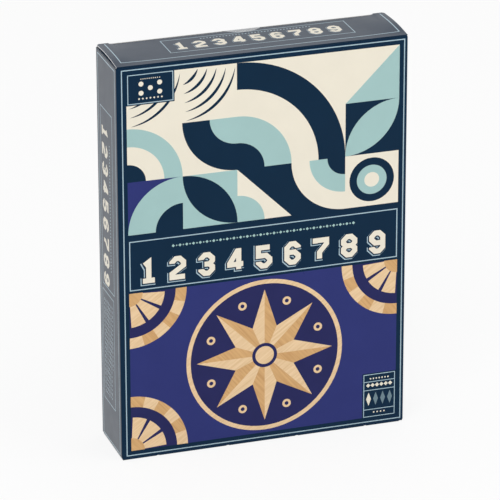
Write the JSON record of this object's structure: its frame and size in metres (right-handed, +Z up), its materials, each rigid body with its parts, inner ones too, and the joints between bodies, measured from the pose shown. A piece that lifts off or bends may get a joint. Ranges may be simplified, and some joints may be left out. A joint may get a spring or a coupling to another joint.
{
  "type": "shut the box game",
  "caption": "Wooden shut the box game with hinged number tiles, felt dice well and dice, in an upright printed tuck-top carton.",
  "frame": {"origin": "middle of the carton's footprint, on the surface it stands on", "axes": "+Z up along the carton's height, +Y from the front panel to the back panel, +X to the right as the front is read"},
  "size_m": [0.172, 0.0401, 0.2401],
  "materials": {
    "printed_board": "satin laminate over a printed navy ground",
    "bare_board": "uncoated grey-white board",
    "clear_film": "clear gloss",
    "leaflet_paper": "matt",
    "tray_wood": "clear satin lacquer on pale pine",
    "plywood": "sanded thin plywood",
    "felt": "navy felt",
    "dowel_wood": "plain turned dowel",
    "tile_wood": "clear satin lacquer on pale pine",
    "dice_wood": "polished, dark pips"
  },
  "bodies": {
    "carton": {"carton_sleeve": "printed_board", "glue_flap": "bare_board", "bottom_outer_flap": "printed_board", "bottom_inner_flap": "bare_board", "bottom_dust_flap_left": "bare_board", "bottom_dust_flap_right": "bare_board"},
    "lid": {"lid_panel": "printed_board", "wafer_seal": "clear_film"},
    "tuck": {"lid_tuck_flap": "printed_board"},
    "dust_left": {"dust_flap_left": "printed_board"},
    "dust_right": {"dust_flap_right": "printed_board"},
    "leaflet": {"leaflet": "leaflet_paper"},
    "tray": {"tray_front_wall": "tray_wood", "tray_back_wall": "tray_wood", "tray_left_end": "tray_wood", "tray_right_end": "tray_wood", "tray_floor": "plywood", "felt_lining": "felt", "tile_rail": "tray_wood", "tile_rod": "dowel_wood"},
    "tile_1": {"tile_1": "tile_wood"},
    "tile_2": {"tile_2": "tile_wood"},
    "tile_3": {"tile_3": "tile_wood"},
    "tile_4": {"tile_4": "tile_wood"},
    "tile_5": {"tile_5": "tile_wood"},
    "tile_6": {"tile_6": "tile_wood"},
    "tile_7": {"tile_7": "tile_wood"},
    "tile_8": {"tile_8": "tile_wood"},
    "tile_9": {"tile_9": "tile_wood"},
    "die_1": {"die_1": "dice_wood"},
    "die_2": {"die_2": "dice_wood"}
  },
  "joints": [
    {"name": "lid_hinge", "type": "hinge", "parent": "carton", "child": "lid", "pos_m": [0, -0.0197, 0.2397], "axis": [1, 0, 0], "range_deg": [0, 180]},
    {"name": "tuck_hinge", "type": "hinge", "parent": "lid", "child": "tuck", "pos_m": [0, 0.01895, 0.2397], "axis": [1, 0, 0], "range_deg": [0, 12]},
    {"name": "dust_left_hinge", "type": "hinge", "parent": "carton", "child": "dust_left", "pos_m": [-0.0857, 0, 0.239], "axis": [0, -1, 0], "range_deg": [0, 90]},
    {"name": "dust_right_hinge", "type": "hinge", "parent": "carton", "child": "dust_right", "pos_m": [0.0857, 0, 0.239], "axis": [0, 1, 0], "range_deg": [0, 90]},
    {"name": "leaflet_slide", "type": "slide", "parent": "carton", "child": "leaflet", "axis": [0, 0, 1], "range_m": [0, 0.07]},
    {"name": "tray_slide", "type": "slide", "parent": "carton", "child": "tray", "axis": [0, 0, 1], "range_m": [0, 0.0025]},
    {"name": "tile_1_hinge", "type": "hinge", "parent": "tray", "child": "tile_1", "pos_m": [-0.062, -0.0024, 0.0223], "axis": [0, 0, -1], "range_deg": [0, 22]},
    {"name": "tile_2_hinge", "type": "hinge", "parent": "tray", "child": "tile_2", "pos_m": [-0.062, -0.0024, 0.0464], "axis": [0, 0, -1], "range_deg": [0, 22]},
    {"name": "tile_3_hinge", "type": "hinge", "parent": "tray", "child": "tile_3", "pos_m": [-0.062, -0.0024, 0.0706], "axis": [0, 0, -1], "range_deg": [0, 22]},
    {"name": "tile_4_hinge", "type": "hinge", "parent": "tray", "child": "tile_4", "pos_m": [-0.062, -0.0024, 0.0948], "axis": [0, 0, -1], "range_deg": [0, 22]},
    {"name": "tile_5_hinge", "type": "hinge", "parent": "tray", "child": "tile_5", "pos_m": [-0.062, -0.0024, 0.1189], "axis": [0, 0, -1], "range_deg": [0, 22]},
    {"name": "tile_6_hinge", "type": "hinge", "parent": "tray", "child": "tile_6", "pos_m": [-0.062, -0.0024, 0.1431], "axis": [0, 0, -1], "range_deg": [0, 22]},
    {"name": "tile_7_hinge", "type": "hinge", "parent": "tray", "child": "tile_7", "pos_m": [-0.062, -0.0024, 0.1672], "axis": [0, 0, -1], "range_deg": [0, 22]},
    {"name": "tile_8_hinge", "type": "hinge", "parent": "tray", "child": "tile_8", "pos_m": [-0.062, -0.0024, 0.1914], "axis": [0, 0, -1], "range_deg": [0, 22]},
    {"name": "tile_9_hinge", "type": "hinge", "parent": "tray", "child": "tile_9", "pos_m": [-0.062, -0.0024, 0.2155], "axis": [0, 0, -1], "range_deg": [0, 22]},
    {"name": "die_1_slide", "type": "slide", "parent": "tray", "child": "die_1", "axis": [0, 0, 1], "range_m": [0, 0.2]},
    {"name": "die_2_slide", "type": "slide", "parent": "tray", "child": "die_2", "axis": [0, 0, 1], "range_m": [0, 0.2]}
  ],
  "couplings": [
    {"joint": "tuck_hinge", "follows": "lid_hinge", "ratio": 0.066667},
    {"joint": "dust_left_hinge", "follows": "lid_hinge", "ratio": 0.5},
    {"joint": "dust_right_hinge", "follows": "lid_hinge", "ratio": 0.5}
  ]
}
